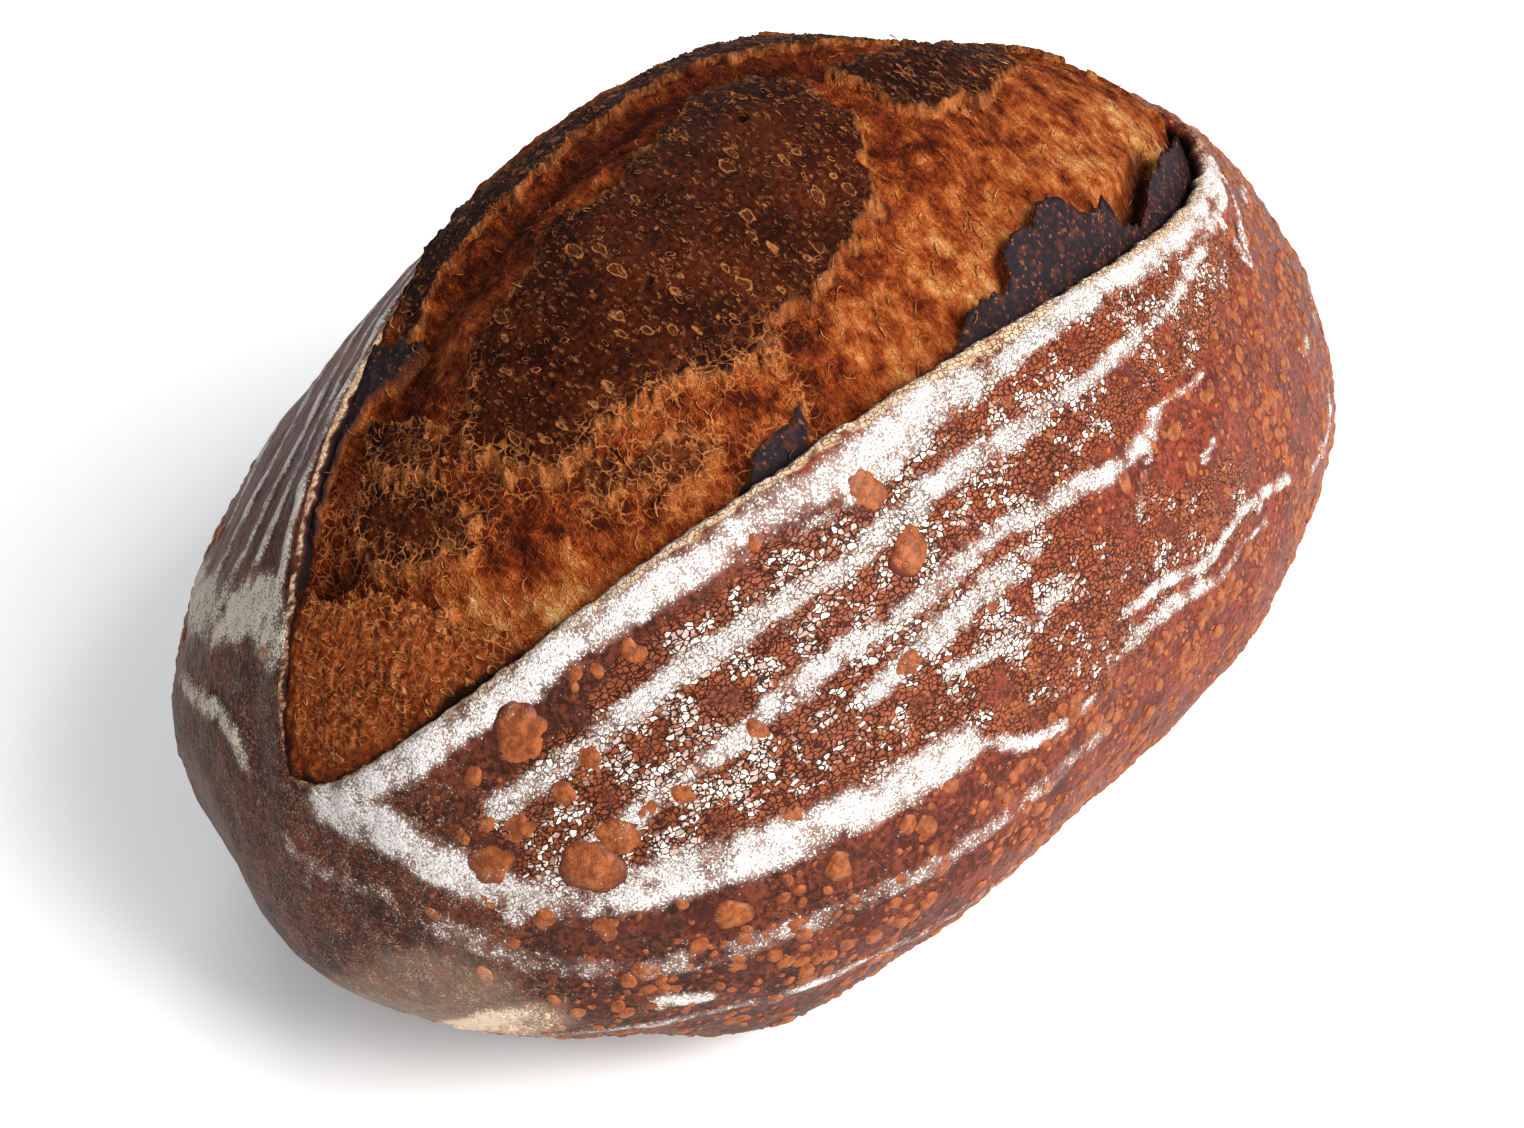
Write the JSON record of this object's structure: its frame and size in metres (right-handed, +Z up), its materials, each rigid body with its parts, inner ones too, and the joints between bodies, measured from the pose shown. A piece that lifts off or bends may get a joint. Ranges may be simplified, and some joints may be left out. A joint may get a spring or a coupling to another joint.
{
  "type": "sourdough loaf",
  "caption": "Oval sourdough loaf with a domed, torn-open top behind one long lifted score edge, rounded flanks and a flat underside to rest on.",
  "frame": {"origin": "under the middle of the loaf, on the surface that it rests on", "axes": "+X along the loaf towards its narrower end, +Y across it towards the far flank, away from the lifted score edge, +Z up"},
  "size_m": [0.232, 0.164, 0.126],
  "materials": {
    "crust": "dry, dark baked crust, satin where it is bare and blistered, matt where it is floured or torn open"
  },
  "bodies": {
    "root": {"loaf": "crust"}
  },
  "joints": []
}
